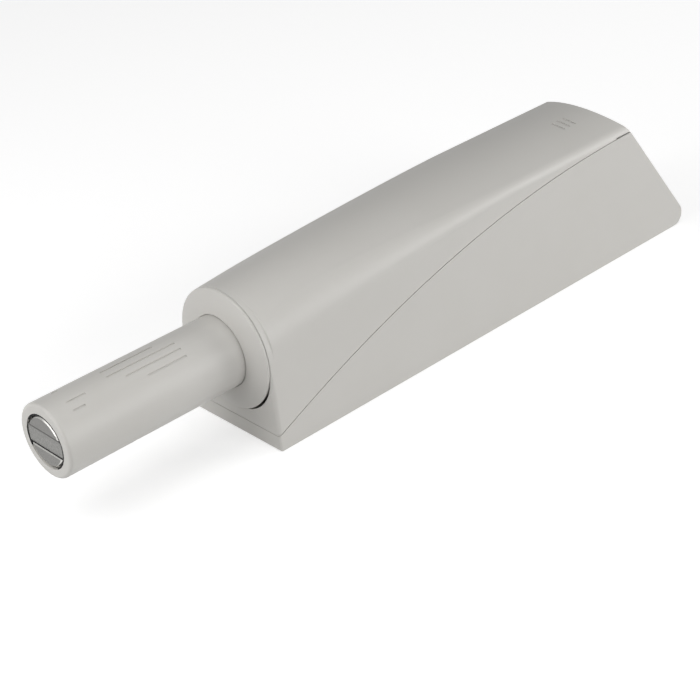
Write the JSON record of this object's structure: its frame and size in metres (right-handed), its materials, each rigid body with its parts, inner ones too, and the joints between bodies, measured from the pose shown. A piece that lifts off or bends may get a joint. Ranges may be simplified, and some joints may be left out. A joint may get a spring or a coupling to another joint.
{
  "type": "touch latch",
  "caption": "Surface-mounted push-to-open latch: a spring-driven round pusher with a magnetic tip, held in by a heart track and guided in a screw-on moulded housing.",
  "frame": {"origin": "Midway between the two base screws, on the mounting face.", "axes": "+X runs along the pusher from its tip to the rear of the housing, +Y across, +Z away from the mounting face."},
  "size_m": [0.0894, 0.0146, 0.017],
  "materials": {
    "housing_plastic": "fine satin moulded skin, warm light grey",
    "pusher_plastic": "satin moulded skin, warm light grey",
    "cartridge_plastic": "smooth moulded skin, grey",
    "slide_plastic": "smooth low-friction plastic, off-white",
    "elastomer": "soft black elastomer",
    "magnet": "rough sintered magnet, grey",
    "plated_steel": "ground steel, bright bevels",
    "spring_steel": "drawn wire and strip, clean"
  },
  "bodies": {
    "housing": {"housing_base": "housing_plastic", "housing_cover": "housing_plastic", "guide_collar": "housing_plastic", "barrel": "cartridge_plastic", "buffer_ring": "elastomer", "main_spring": "spring_steel", "guide_rod": "spring_steel", "barrel_plug": "slide_plastic", "stop_pad": "elastomer", "leaf_spring": "spring_steel", "plug_pin": "spring_steel"},
    "pusher": {"pusher_tube": "pusher_plastic", "magnet_holder": "cartridge_plastic", "magnet_bar": "magnet", "pole_plate_upper": "plated_steel", "pole_plate_lower": "plated_steel", "cam_slider": "slide_plastic", "slider_pin": "spring_steel", "spring_seat": "spring_steel"},
    "follower": {"follower_pin": "spring_steel"}
  },
  "joints": [
    {"name": "pusher_slide", "type": "slide", "parent": "housing", "child": "pusher", "axis": [1, 0, 0], "range_m": [0, 0.0216], "stiffness_N_per_m": 400, "springref_m": -0.007, "deforming": ["main_spring"]},
    {"name": "follower_swing", "type": "hinge", "parent": "housing", "child": "follower", "pos_m": [0.017, 0, 0.01365], "axis": [0, 0, 1], "range_deg": [0, 9.2]}
  ]
}
